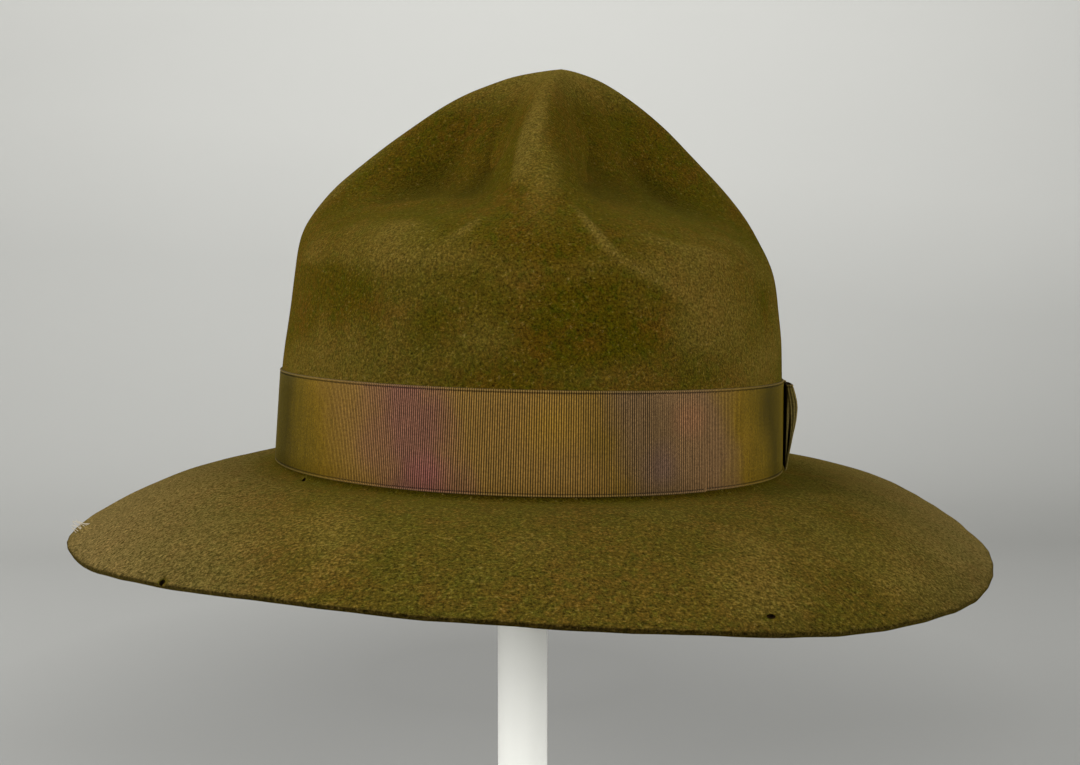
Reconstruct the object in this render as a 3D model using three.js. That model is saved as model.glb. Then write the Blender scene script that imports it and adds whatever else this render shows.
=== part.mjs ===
// A felt campaign hat with a peaked, four-dented crown and a wide, drooping brim, on a plain round stand.
// Millimetres, +Z up. The hat faces -Y, and +X is its wearer's left, the side of the bow.
// The origin is the middle of the stand's underside.
import * as THREE from 'three';

// The felt, and the bend where its crown turns into its brim
const feltThickness = 2;
const breakRadius = 3;

// The hat's place on the stand: how high the break is, how far its middle lies off the post, and its lean
const breakHeight = 166;
const hatOffset = 2;
const hatLean = THREE.MathUtils.degToRad(1.22);

// The ribbon round the crown, and the room that touching pieces keep
const clearance = 0.3;
const ribbonThickness = 0.7;
const bandTop = 29.6;
const bandBottom = -1.2;

// The flat bow, whose knot holds its two loops against the ribbon. The loops open by bowLift, which falls
// by bowCup at their long edges and to the share bowPinch at the knot. At their ends those edges also lie
// down on the ribbon by the share bowSettle of the knot's back.
const bowHalfLength = 33;
const bowHeight = 29;
const bowLift = 2;
const bowCup = 0.7;
const bowPinch = 0.3;
const bowSettle = 0.9;
const bowThickness = 0.6;
const knotWidth = 13;
const knotThickness = 0.6;
const knotSquareness = 0.2;

// The stand: a foot with a low boss, a tube, and a domed cap with a hub inside the crown
const baseRadius = 90;
const baseHeight = 12;
const baseChamfer = 2;
const baseShoulder = 12;
const bossRadius = 16;
const bossHeight = 24;
const bossFillet = 4;
const postRadius = 8.75;
const socketDepth = 14;
const capRadius = 38;
const capDomeRadius = 62;
const capRim = 7;
const capChamfer = 2;
const capMargin = 6;
const capHubRadius = 14;
const capHubDepth = 16;
const capHubFillet = 4;

// The crown's outside, a row for each level from the break up to the peak. Each row is an oval through the
// four ridges: left and right are where the side ridges stand across the hat, front and back where the end
// ridges stand along it, with their heights. The four dents lie between them: dentIn is the share by which
// they draw the oval in, dentDown how far they sink it, and pinch how narrow the ridges stay beside them.
// The front ridge leans to the wearer's right by the angle frontTurn.
const crownColumns = [
  'left', 'leftUp', 'right', 'rightUp', 'front', 'back', 'endUp', 'pinch', 'dentIn', 'dentDown', 'frontTurn',
];
const row = (...values) => Object.fromEntries(crownColumns.map((name, index) => [name, values[index]]));
const crownRows = [
  row(-86.7, 0, 86.7, 0, -102.7, 102.7, 0, 5, 0, 0, 0),
  row(-86.2, bandTop, 86.9, bandTop, -101.6, 101.6, bandTop, 5, 0, 0, 0),
  row(-83.2, 48, 85.3, 48, -99.6, 99.4, 48, 5, 0, 0, 0),
  row(-81.6, 62, 83.8, 59, -97.2, 96.6, 62, 5, 0, 0, 0.02),
  row(-80.6, 70.5, 82.3, 67.5, -94, 93, 71, 6, 0.01, 0.1, 0.04),
  row(-78.3, 78.5, 79.8, 76, -88.4, 87, 79, 6, 0.08, 0.3, 0.06),
  row(-72.3, 87.5, 74.6, 85.5, -79.6, 78.4, 87.5, 6, 0.23, 3, 0.07),
  row(-62.9, 96.7, 66, 95.7, -68.6, 67.6, 96.5, 5.5, 0.33, 6, 0.08),
  row(-51.7, 106.5, 55.6, 106, -55.8, 55, 106, 5, 0.34, 7, 0.09),
  row(-38.9, 116, 44.3, 116, -42.2, 41, 115.6, 4.5, 0.3, 6.5, 0.1),
  row(-24.8, 124.6, 32.2, 124.6, -28.2, 25.6, 124.4, 4, 0.23, 4.8, 0.1),
  row(-8.4, 131.2, 19.8, 131.2, -15, 9.4, 131.2, 3.5, 0.12, 1.5, 0.06),
  row(8.4, 134.2, 8.4, 134.2, -3, -3, 134.2, 3, 0, 0, 0),
];
const topOfWall = 3;

// The brim, a row for each twelfth of a turn from the wearer's left, by way of the back: how far it reaches
// out from the crown's wall, and how far its edge hangs below the break.
const brimRows = [
  { reach: 71.5, drop: 23.6 },
  { reach: 70, drop: 11.2 },
  { reach: 70.5, drop: 10 },
  { reach: 70, drop: 15.5 },
  { reach: 70, drop: 21 },
  { reach: 70, drop: 23 },
  { reach: 69, drop: 27.4 },
  { reach: 67, drop: 26.6 },
  { reach: 67.6, drop: 21.9 },
  { reach: 67.8, drop: 24.4 },
  { reach: 69.6, drop: 29.7 },
  { reach: 69.8, drop: 29.9 },
];
const brimDroop = 1.8;
const brimShares = [0.14, 0.3, 0.47, 0.65, 0.83, 1];
const bendAngles = [35, 65, 90];

// The columns of the hat's skins stand closer together at the ridges than between them.
const columns = 64;
const columnWarp = 0.06;
const angles = [];
for (let column = 0; column < columns; column += 1) {
  const even = (column / columns) * 2 * Math.PI;
  angles.push(even - columnWarp * Math.sin(4 * even));
}

// A cubic through four even steps, at a share of the way between the middle two
function cubic(before, start, end, after, share) {
  const rise = (end - before) / 2;
  const fall = (after - start) / 2;
  const cube = 2 * start - 2 * end + rise + fall;
  const square = 3 * (end - start) - 2 * rise - fall;
  return ((cube * share + square) * share + rise) * share + start;
}

// A table's column, read at a place between its rows
function between(rows, name, place) {
  const last = rows.length - 1;
  const index = Math.min(Math.floor(place), last - 1);
  const value = (row) => rows[Math.min(Math.max(row, 0), last)][name];
  return cubic(value(index - 1), value(index), value(index + 1), value(index + 2), place - index);
}

// The same for a table that goes round
function around(rows, name, angle) {
  const count = rows.length;
  const place = ((angle / (2 * Math.PI)) * count + count) % count;
  const index = Math.floor(place);
  const value = (row) => rows[(row + count) % count][name];
  return cubic(value(index - 1), value(index), value(index + 1), value(index + 2), place - index);
}

// The dents' share at an angle: none on a ridge, and all of it half way between two
function dentShare(angle, pinch, frontTurn) {
  const turned = angle + frontTurn * Math.max(0, -Math.sin(angle)) ** 2;
  return 1 - Math.abs(Math.cos(2 * turned)) ** pinch;
}

// The crown's outside at a place in its table
function crownPoint(place, angle) {
  const read = (name) => between(crownRows, name, place);
  const dent = dentShare(angle, read('pinch'), read('frontTurn'));
  const draw = 1 - read('dentIn') * dent;
  const acrossMiddle = (read('left') + read('right')) / 2;
  const alongMiddle = (read('front') + read('back')) / 2;
  const halfWidth = (read('right') - read('left')) / 2;
  const halfLength = (read('back') - read('front')) / 2;
  const side = Math.cos(angle) ** 2;
  const sideUp = read(Math.cos(angle) > 0 ? 'rightUp' : 'leftUp');
  return new THREE.Vector3(
    acrossMiddle + halfWidth * Math.cos(angle) * draw,
    alongMiddle + halfLength * Math.sin(angle) * draw,
    sideUp * side + read('endUp') * (1 - side) - read('dentDown') * dent,
  );
}

// The level direction straight out of the crown's wall
function outward(angle) {
  const base = crownRows[0];
  return new THREE.Vector3(Math.cos(angle) / base.right, Math.sin(angle) / base.back, 0).normalize();
}

// A point of the hat, pushed out from the foot of the crown's wall by a distance, and down by another
function footPoint(angle, out, down) {
  const point = crownPoint(0, angle).addScaledVector(outward(angle), out);
  point.z -= down;
  return point;
}

// The felt's outside from just below the peak to the brim's edge, ring by ring
function feltRings() {
  const rings = [];
  const pushCrown = (place) => rings.push(angles.map((angle) => crownPoint(place, angle)));
  for (let place = crownRows.length - 1.5; place > topOfWall; place -= 0.5) {
    pushCrown(place);
  }
  for (let place = topOfWall; place >= 0; place -= 1) {
    pushCrown(place);
  }
  for (const degrees of bendAngles) {
    const turn = THREE.MathUtils.degToRad(degrees);
    const out = breakRadius * (1 - Math.cos(turn));
    rings.push(angles.map((angle) => footPoint(angle, out, breakRadius * Math.sin(turn))));
  }
  for (const share of brimShares) {
    rings.push(angles.map((angle) => {
      const out = breakRadius + (around(brimRows, 'reach', angle) - breakRadius) * share;
      const fall = (around(brimRows, 'drop', angle) - breakRadius) * share ** brimDroop;
      return footPoint(angle, out, breakRadius + fall);
    }));
  }
  return rings;
}

// The faces of a skin over rings of equal length. firstPole and lastPole close its ends with a point, and
// a skin without them runs from its last ring back to its first where it is closed.
function skin(rings, { firstPole, lastPole, closed = false }) {
  const points = rings.flat();
  const faces = [];
  const count = rings[0].length;
  const bands = closed ? rings.length : rings.length - 1;
  for (let band = 0; band < bands; band += 1) {
    const here = band * count;
    const next = ((band + 1) % rings.length) * count;
    for (let column = 0; column < count; column += 1) {
      const beside = (column + 1) % count;
      faces.push(here + column, next + column, next + beside);
      faces.push(here + column, next + beside, here + beside);
    }
  }
  if (firstPole) {
    for (let column = 0; column < count; column += 1) {
      faces.push(points.length, column, (column + 1) % count);
    }
    points.push(firstPole);
  }
  if (lastPole) {
    const ring = (rings.length - 1) * count;
    for (let column = 0; column < count; column += 1) {
      faces.push(points.length, ring + ((column + 1) % count), ring + column);
    }
    points.push(lastPole);
  }
  const geometry = new THREE.BufferGeometry().setFromPoints(points);
  geometry.setIndex(faces);
  geometry.computeVertexNormals();
  return geometry;
}

// The whole felt: its outside, the cut edge, and an inside that lies its thickness under the outside
function feltGeometry() {
  const outside = feltRings();
  const peak = crownPoint(crownRows.length - 1, 0);
  const outer = skin(outside, { firstPole: peak });
  const normals = outer.getAttribute('normal');
  const sink = (point, index) => {
    const normal = new THREE.Vector3().fromBufferAttribute(normals, index);
    return point.clone().addScaledVector(normal, -feltThickness);
  };
  const sinkRing = (ring, level) => ring.map((point, column) => sink(point, level * columns + column));
  const inside = outside.map(sinkRing);
  const innerPeak = sink(peak, outside.length * columns);
  return skin([...outside, ...inside.reverse()], { firstPole: peak, lastPole: innerPeak });
}

// A point over the crown's wall, by its height and its distance out from the felt
function wallPoint(angle, up, out) {
  if (up < 0) {
    const flare = breakRadius - Math.sqrt(breakRadius ** 2 - up ** 2);
    return footPoint(angle, flare + out, -up);
  }
  return crownPoint(up / bandTop, angle).addScaledVector(outward(angle), out);
}

// The ribbon that goes round the crown
function bandGeometry() {
  const levels = [bandTop, 0, bandBottom];
  const ring = (up, out) => angles.map((angle) => wallPoint(angle, up, out));
  const outer = levels.map((up) => ring(up, clearance + ribbonThickness));
  const inner = levels.map((up) => ring(up, clearance)).reverse();
  return skin([...outer, ...inner], { closed: true });
}

// A point over the ribbon on the wearer's left: its way towards the back, its height and its distance out
function bowPoint(along, up, out) {
  const angle = along / crownRows[0].back;
  return wallPoint(angle, up, 2 * clearance + ribbonThickness + out);
}

// How far the bow's loops open in their middle, at a share of the way from the knot to their ends
function loopLift(reach) {
  return bowLift * (bowPinch + (1 - bowPinch) * reach ** 2);
}

// The bow's two loops are one ribbon that runs there and back, pinched at the knot.
function bowGeometry() {
  const stations = 36;
  const levels = [1, 0.5, 0, -0.5, -1];
  const middle = (bandTop + bandBottom) / 2;
  const path = (station, level, inset) => {
    const turn = (station / stations) * 2 * Math.PI;
    const reach = Math.sin(turn);
    const along = (bowHalfLength - inset) * reach;
    const halfLift = (loopLift(reach) * (1 - bowCup * level ** 2)) / 2;
    const seat = clearance + knotThickness * (1 - bowSettle * (level * reach) ** 2);
    const up = middle + (level * bowHeight) / 2;
    const out = seat + bowThickness + halfLift + (halfLift + bowThickness - inset) * Math.cos(turn);
    return bowPoint(along, up, out);
  };
  const ring = (level, inset) => {
    const points = [];
    for (let station = 0; station < stations; station += 1) {
      points.push(path(station, level, inset));
    }
    return points;
  };
  const outer = levels.map((level) => ring(level, 0));
  const inner = levels.map((level) => ring(level, bowThickness)).reverse();
  return skin([...outer, ...inner], { closed: true });
}

// The knot: a short ribbon wrapped round the middle of the bow
function knotGeometry() {
  const stations = 20;
  const middle = (bandTop + bandBottom) / 2;
  const depth = 2 * (knotThickness + clearance + bowThickness) + loopLift(knotWidth / 2 / bowHalfLength);
  const halfHeight = bowHeight / 2 + 2 * clearance + knotThickness;
  const ring = (side, inset) => {
    const points = [];
    for (let station = 0; station < stations; station += 1) {
      const turn = (station / stations) * 2 * Math.PI;
      const corner = (value) => Math.sign(value) * Math.abs(value) ** knotSquareness;
      const up = middle + (halfHeight - inset) * corner(Math.cos(turn));
      const out = depth / 2 + (depth / 2 - inset) * corner(Math.sin(turn));
      points.push(bowPoint((side * knotWidth) / 2, up, out));
    }
    return points;
  };
  const sides = [1, 0, -1];
  const outer = sides.map((side) => ring(side, 0));
  const inner = sides.map((side) => ring(side, knotThickness)).reverse();
  return skin([...outer, ...inner], { closed: true });
}

// A turned piece, from its half section as pairs of radius and height
function turned(section, segments) {
  const profile = section.map(([radius, height]) => new THREE.Vector2(radius, height));
  const geometry = new THREE.LatheGeometry(profile, segments);
  geometry.rotateX(Math.PI / 2);
  return geometry;
}

// How far the cap's dome lies below its top at a radius
function domeFall(radius) {
  return capDomeRadius - Math.sqrt(capDomeRadius ** 2 - radius ** 2);
}

// The cap, from its dome round the rim and down its hub into the post's socket
function capGeometry() {
  const section = [];
  for (const share of [0, 0.25, 0.5, 0.75, 1]) {
    section.push([capRadius * share, -domeFall(capRadius * share)]);
  }
  const rim = -domeFall(capRadius) - capRim;
  const hub = rim - capHubDepth;
  const socket = postRadius + clearance;
  section.push(
    [capRadius - capChamfer, rim],
    [capHubRadius + capHubFillet, rim],
    [capHubRadius, rim - capHubFillet],
    [capHubRadius, hub],
    [socket, hub],
    [socket, hub + socketDepth],
    [0, hub + socketDepth],
  );
  return turned(section.reverse(), 32);
}

// The foot, from its flat underside round its edge and up the boss into the post's socket
function baseGeometry() {
  const socket = postRadius + clearance;
  const floor = bossHeight - socketDepth;
  const section = [
    [0, 0],
    [baseRadius - baseChamfer, 0],
    [baseRadius, baseChamfer],
    [baseRadius, baseHeight - 2 * baseChamfer],
    [baseRadius - 2 * baseChamfer, baseHeight - baseChamfer / 2],
    [baseRadius - baseShoulder, baseHeight],
    [bossRadius + bossFillet, baseHeight + bossFillet / 2],
    [bossRadius, baseHeight + 1.5 * bossFillet],
    [bossRadius - baseChamfer / 2, bossHeight],
    [socket, bossHeight],
    [socket, floor],
    [0, floor],
  ];
  return turned(section, 40);
}

const feltMaterial = new THREE.MeshStandardMaterial({ color: 0x5a4719, roughness: 0.95, metalness: 0 });
const ribbonMaterial = new THREE.MeshStandardMaterial({ color: 0x6d5431, roughness: 0.7, metalness: 0 });
const bowMaterial = new THREE.MeshStandardMaterial({ color: 0x55492a, roughness: 0.7, metalness: 0 });
const knotMaterial = new THREE.MeshStandardMaterial({ color: 0x4f4427, roughness: 0.7, metalness: 0 });
const baseMaterial = new THREE.MeshStandardMaterial({ color: 0xd9d9d0, roughness: 0.5, metalness: 0 });
const postMaterial = new THREE.MeshStandardMaterial({ color: 0xe2e2da, roughness: 0.45, metalness: 0 });
const capMaterial = new THREE.MeshStandardMaterial({ color: 0xd9d9d0, roughness: 0.6, metalness: 0 });

function piece(name, geometry, material) {
  const mesh = new THREE.Mesh(geometry, material);
  mesh.name = name;
  return mesh;
}

const hat = new THREE.Group();
hat.position.set(hatOffset, 0, breakHeight);
hat.rotation.y = hatLean;
hat.add(piece('felt_body', feltGeometry(), feltMaterial));
hat.add(piece('hat_band', bandGeometry(), ribbonMaterial));
hat.add(piece('bow_loops', bowGeometry(), bowMaterial));
hat.add(piece('bow_knot', knotGeometry(), knotMaterial));
hat.updateMatrixWorld(true);

// The cap's top comes as high as the felt over it, and a little way past its rim, lets its dome come.
function capTop() {
  const felt = hat.getObjectByName('felt_body');
  const places = felt.geometry.getAttribute('position');
  const point = new THREE.Vector3();
  let top = Infinity;
  for (let index = 0; index < places.count; index += 1) {
    point.fromBufferAttribute(places, index).applyMatrix4(felt.matrixWorld);
    const radius = Math.hypot(point.x, point.y);
    if (radius < capRadius + capMargin) {
      top = Math.min(top, point.z + domeFall(radius));
    }
  }
  return top - clearance;
}

const stand = new THREE.Group();
const cap = piece('stand_cap', capGeometry(), capMaterial);
cap.position.z = capTop();
const postFoot = bossHeight - socketDepth + clearance;
const postHead = cap.position.z - domeFall(capRadius) - capRim - capHubDepth + socketDepth - clearance;
const postShape = new THREE.CylinderGeometry(postRadius, postRadius, postHead - postFoot, 32);
postShape.rotateX(Math.PI / 2);
const post = piece('stand_post', postShape, postMaterial);
post.position.z = (postFoot + postHead) / 2;
stand.add(piece('stand_base', baseGeometry(), baseMaterial), post, cap);

const part = new THREE.Group();
part.add(hat, stand);
export default part;
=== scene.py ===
# %% [markdown]
# A felt campaign hat on a plain white stand. The solids of the hat and its stand come packed as a fixed
# frame, so every piece made here is measured from them and lies where they lie. Lengths are in metres, and
# MM turns a length in millimetres into metres, because a hat is easier to think of in millimetres.

# %% The frame and the modules
import math

import bpy
import numpy as np
from mathutils import Matrix, Vector, noise
from mathutils.bvhtree import BVHTree


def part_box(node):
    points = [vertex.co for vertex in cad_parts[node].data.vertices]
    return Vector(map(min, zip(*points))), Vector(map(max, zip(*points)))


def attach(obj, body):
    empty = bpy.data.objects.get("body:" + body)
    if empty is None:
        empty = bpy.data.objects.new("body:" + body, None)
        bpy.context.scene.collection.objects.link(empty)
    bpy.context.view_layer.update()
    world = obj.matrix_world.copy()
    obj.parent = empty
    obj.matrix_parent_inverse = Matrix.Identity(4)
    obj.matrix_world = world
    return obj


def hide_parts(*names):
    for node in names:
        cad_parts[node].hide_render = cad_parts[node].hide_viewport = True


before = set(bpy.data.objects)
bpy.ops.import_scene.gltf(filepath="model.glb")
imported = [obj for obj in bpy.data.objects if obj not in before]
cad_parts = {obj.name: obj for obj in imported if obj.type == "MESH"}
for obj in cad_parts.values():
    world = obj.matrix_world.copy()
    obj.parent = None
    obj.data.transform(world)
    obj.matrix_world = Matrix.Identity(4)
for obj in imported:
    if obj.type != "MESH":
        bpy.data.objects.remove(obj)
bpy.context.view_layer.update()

MM = 0.001

# %% [markdown]
# The hat doesn't sit quite level. Its break, the bend where the crown turns into the brim, is a level oval in
# the hat's own frame, and that frame leans a little and stands off the post's middle. Pieces of the hat are
# easiest to make in that frame, so HAT_PLACE carries a point from it into the frame of the whole object.

# %% The hat's own frame
HAT_LEAN = math.radians(1.22)
HAT_OFFSET = 2 * MM
BREAK_HEIGHT = 166 * MM
HAT_PLACE = Matrix.Translation((HAT_OFFSET, 0, BREAK_HEIGHT)) @ Matrix.Rotation(HAT_LEAN, 4, "Y")

# %% [markdown]
# The camera comes first, because small marks are placed by where the photograph shows them. It looks at the
# hat from in front, a little from the wearer's right and from a little above the brim. Its distance was found
# from how strongly the ribbon's two edges curve. SIGHT turns a direction as the camera sees it into one of
# the whole object.

# %% The camera
PHOTO_WIDTH, PHOTO_HEIGHT = 1080, 765
FOCAL_PIXELS = 1621
CAMERA_DISTANCE = 566.2 * MM
CAMERA_ASIDE = 6.17 * MM
CAMERA_RISE = 60.9 * MM
CAMERA_YAW = math.radians(5.26)
CAMERA_PITCH = math.radians(3.57)

camera_data = bpy.data.cameras.new("photo_camera")
camera_data.sensor_width = 36
camera_data.lens = FOCAL_PIXELS / PHOTO_WIDTH * camera_data.sensor_width
camera_data.clip_start = 0.01
camera = bpy.data.objects.new("photo_camera", camera_data)
bpy.context.collection.objects.link(camera)
camera.matrix_world = (
    Matrix.Rotation(-CAMERA_YAW, 4, "Z")
    @ Matrix.Translation((CAMERA_ASIDE, -CAMERA_DISTANCE, BREAK_HEIGHT + CAMERA_RISE))
    @ Matrix.Rotation(math.pi / 2 - CAMERA_PITCH, 4, "X")
)
bpy.context.scene.camera = camera
CAMERA_PLACE = camera.matrix_world.copy()
SIGHT = CAMERA_PLACE.to_quaternion()
print("camera at", tuple(round(value, 4) for value in camera.location))

# %% [markdown]
# A few helpers do what a hand does with the mouse: they pick one object, open it for editing, apply a modifier
# to it, and read or write all its points at once. An operator works on whatever is selected, so picking always
# clears the selection first.

# %% Picking and changing objects
def pick(piece):
    bpy.ops.object.select_all(action="DESELECT")
    piece.select_set(True)
    bpy.context.view_layer.objects.active = piece


def edit(piece):
    pick(piece)
    bpy.ops.object.mode_set(mode="EDIT")
    bpy.ops.mesh.select_all(action="SELECT")


def leave_edit():
    bpy.ops.object.mode_set(mode="OBJECT")


def edit_new(name):
    """Names the primitive that was just added and opens it for editing."""
    piece = bpy.context.object
    piece.name = name
    piece.data.name = name
    edit(piece)
    return piece


def use_modifier(piece, kind, **settings):
    pick(piece)
    modifier = piece.modifiers.new(kind.title(), kind)
    for name, value in settings.items():
        setattr(modifier, name, value)
    bpy.ops.object.modifier_apply(modifier=modifier.name)


def read_points(mesh, name="co"):
    values = np.empty(len(mesh.vertices) * 3)
    mesh.vertices.foreach_get(name, values)
    return values.reshape(-1, 3)


def write_points(mesh, points):
    mesh.vertices.foreach_set("co", points.ravel())
    mesh.update()


def keep_value(mesh, name, values):
    kind = "FLOAT" if values.ndim == 1 else "FLOAT_VECTOR"
    attribute = mesh.attributes.new(name, kind, "POINT")
    attribute.data.foreach_set("value" if kind == "FLOAT" else "vector", values.ravel())


def smooth(piece, degrees=180):
    pick(piece)
    bpy.ops.object.shade_smooth_by_angle(angle=math.radians(degrees))


def carried(points, matrix):
    turn = np.array(matrix.to_3x3())
    return points @ turn.T + np.array(matrix.translation)


# %% [markdown]
# Materials are made of nodes. Socket wraps one output of a node, so that maths on it reads as maths and adds
# the Math nodes by itself. Finish holds one material and has a single method that adds any other node.

# %% Sockets and finishes
class Socket:
    """An output of a node, on which an expression adds Math nodes."""

    def __init__(self, finish, output):
        self.finish = finish
        self.output = output

    def maths(self, operation, *values):
        return self.finish.node("ShaderNodeMath", {"operation": operation}, dict(enumerate(values)))

    def __add__(self, other):
        return self.maths("ADD", self, other)

    def __radd__(self, other):
        return self.maths("ADD", other, self)

    def __sub__(self, other):
        return self.maths("SUBTRACT", self, other)

    def __rsub__(self, other):
        return self.maths("SUBTRACT", other, self)

    def __mul__(self, other):
        return self.maths("MULTIPLY", self, other)

    def __rmul__(self, other):
        return self.maths("MULTIPLY", other, self)


class Finish:
    """A material that is being put together, with its shader."""

    def __init__(self, name, **constants):
        self.material = bpy.data.materials.new(name)
        self.material.use_nodes = True
        self.tree = self.material.node_tree
        self.shader = self.tree.nodes["Principled BSDF"]
        for title, value in constants.items():
            self.feed(title.replace("_", " "), value)

    def feed(self, title, value):
        self.join(self.shader.inputs[title], value)

    def join(self, target, value):
        if isinstance(value, Socket):
            self.tree.links.new(value.output, target)
        else:
            target.default_value = value

    def node(self, kind, settings=None, sockets=None, output=0):
        made = self.tree.nodes.new(kind)
        for name, value in (settings or {}).items():
            if name == "stops":
                self.set_stops(made.color_ramp, value)
            else:
                setattr(made, name, value)
        for name, value in (sockets or {}).items():
            self.join(made.inputs[name], value)
        return Socket(self, made.outputs[output])

    def set_stops(self, ramp, stops):
        while len(ramp.elements) < len(stops):
            ramp.elements.new(0.5)
        for element, (place, colour) in zip(ramp.elements, stops):
            element.position = place
            element.color = colour


# %% [markdown]
# Colours are picked as red, green and blue from 0 to 255, the way a screen shows them. A shader counts
# light instead, so each is turned into its linear value once, in Python.

# %% Colours
def shade(red, green, blue):
    linear = []
    for value in (red, green, blue):
        share = value / 255
        linear.append(share / 12.92 if share <= 0.04045 else ((share + 0.055) / 1.055) ** 2.4)
    return (*linear, 1.0)


# %% [markdown]
# Some nodes come back in every finish, so each gets a short name: where a point lies on its object, a value
# that the mesh carries, clouds of noise, a ramp of colours, a range of numbers moved to another range, and a
# mix of two colours. A Mix node has sockets for every kind of value. Those for colours have the numbers 6 and
# 7, and their result has the number 2.

# %% Common nodes
def own_place(finish):
    return finish.node("ShaderNodeTexCoord", output="Object")


def carried_value(finish, name, output="Fac"):
    return finish.node("ShaderNodeAttribute", {"attribute_name": name}, output=output)


def split(finish, vector):
    """A vector's three numbers, each as a socket."""
    apart = finish.node("ShaderNodeSeparateXYZ", None, {"Vector": vector})
    return [Socket(finish, output) for output in apart.output.node.outputs]


def flat_place(finish, along, across):
    return finish.node("ShaderNodeCombineXYZ", None, {"X": along, "Y": across})


def distance(finish, place, centre=(0, 0, 0)):
    return finish.node("ShaderNodeVectorMath", {"operation": "DISTANCE"}, {0: place, 1: centre}, output="Value")


def clouds(finish, place, scale, detail=2.0, roughness=0.5):
    sockets = {"Vector": place, "Scale": scale, "Detail": detail, "Roughness": roughness}
    return finish.node("ShaderNodeTexNoise", None, sockets)


def ramp(finish, value, *stops):
    return finish.node("ShaderNodeValToRGB", {"stops": stops}, {"Fac": value})


def level(finish, value, low, high, out_low=0.0, out_high=1.0):
    sockets = {"Value": value, "From Min": low, "From Max": high, "To Min": out_low, "To Max": out_high}
    return finish.node("ShaderNodeMapRange", {"clamp": True}, sockets)


def blend(finish, share, first, second, way="MIX"):
    settings = {"data_type": "RGBA", "blend_type": way}
    return finish.node("ShaderNodeMix", settings, {0: share, 6: first, 7: second}, output=2)


def toned(finish, colour, tone):
    """A colour made darker or lighter by a number."""
    grey = finish.node("ShaderNodeCombineColor", None, {"Red": tone, "Green": tone, "Blue": tone})
    return blend(finish, 1.0, colour, grey, "MULTIPLY")


def bump(finish, height, distance, strength=1.0):
    sockets = {"Height": height, "Distance": distance, "Strength": strength}
    return finish.node("ShaderNodeBump", None, sockets)


# %% [markdown]
# The felt is one piece, blocked over a form: crown, break and brim without a seam. Its solid already has the
# true form in coarse facets, so the fine piece starts as a copy of it. Paired into quads and subdivided, the
# facets turn into a smooth skin. The brim's raw edge is bevelled first, which keeps it 2 mm thick with small
# round corners instead of letting the subdivision melt it.

# %% The felt's skin
FOOT_HALF_WIDTH = 86.7 * MM
FOOT_HALF_LENGTH = 102.7 * MM
RIM_STARTS = 62 * MM
RIM_STEP = 4 * MM
RIM_ROUNDING = 0.35 * MM
MERGE_DISTANCE = 0.01 * MM
TINY = 1e-9


def copy_node(node, name):
    """A new object with a copy of a solid's mesh, its points merged and its triangles paired."""
    piece = bpy.data.objects.new(name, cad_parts[node].data.copy())
    bpy.context.collection.objects.link(piece)
    piece.data.materials.clear()
    edit(piece)
    bpy.ops.mesh.remove_doubles(threshold=MERGE_DISTANCE)
    bpy.ops.mesh.tris_convert_to_quads(face_threshold=math.pi, shape_threshold=math.pi)
    leave_edit()
    return piece


def beyond_foot(points):
    """How far points in the hat's frame lie outside the oval foot of the crown's wall, seen from above."""
    half = np.array([FOOT_HALF_WIDTH, FOOT_HALF_LENGTH])
    scaled = points[:, :2] / half
    reach = np.linalg.norm(scaled, axis=1)
    slope = np.linalg.norm(scaled / half, axis=1) / np.maximum(reach, TINY)
    return (reach - 1) / np.maximum(slope, TINY)


felt = copy_node("felt_body", "felt")
on_rim = beyond_foot(carried(read_points(felt.data), HAT_PLACE.inverted())) > RIM_STARTS
edit(felt)
bpy.ops.mesh.select_all(action="DESELECT")
leave_edit()
for line in felt.data.edges:
    start, end = line.vertices
    span = (felt.data.vertices[start].co - felt.data.vertices[end].co).length
    line.select = bool(on_rim[start] and on_rim[end] and span > RIM_STEP)
print("rim edges", sum(line.select for line in felt.data.edges))
pick(felt)
bpy.ops.object.mode_set(mode="EDIT")
bpy.ops.mesh.select_mode(type="EDGE")
bpy.ops.mesh.bevel(offset=RIM_ROUNDING, segments=1)
bpy.ops.mesh.select_mode(type="VERT")
leave_edit()
use_modifier(felt, "SUBSURF", levels=2, render_levels=2)
print("felt", len(felt.data.vertices), "points,", len(felt.data.polygons), "faces")

# %% [markdown]
# Old felt is never quite even. Two slow noises push the skin in and out by a few tenths of a millimetre, the
# same way on both sides, so the wall keeps its thickness. They fade away where the ribbon is sewn tight round
# the crown. Blender's vector noise starts from the clock unless it is given a seed, so it gets one, and the
# felt comes out the same each time the script runs.

# %% Unevenness
WAVES = [{"length": 34 * MM, "height": 0.7 * MM}, {"length": 13 * MM, "height": 0.22 * MM}]
WAVE_SEED = 7
BAND_TOP = 29.6 * MM
BAND_BOTTOM = -1.2 * MM
CALM_MARGIN = 4 * MM
CALM_FADE = 9 * MM

noise.seed_set(WAVE_SEED)
points = read_points(felt.data)
in_hat = carried(points, HAT_PLACE.inverted())
past_band = np.maximum(in_hat[:, 2] - BAND_TOP, beyond_foot(in_hat)) - CALM_MARGIN
freedom = np.clip(past_band / CALM_FADE, 0, 1)
for wave in WAVES:
    push = np.array([noise.noise_vector(Vector(point) / wave["length"]) for point in points])
    points = points + push * (freedom * wave["height"])[:, None]
write_points(felt.data, points)
print("waves leave", int((freedom == 0).sum()), "points calm under the ribbon")

# %% [markdown]
# Small marks are placed by a pixel of the photograph: a ray from the camera through that pixel meets the
# skin, and the mark goes where it lands.

# %% From a pixel to the felt
felt_tree = BVHTree.FromObject(felt, bpy.context.evaluated_depsgraph_get())


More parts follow.
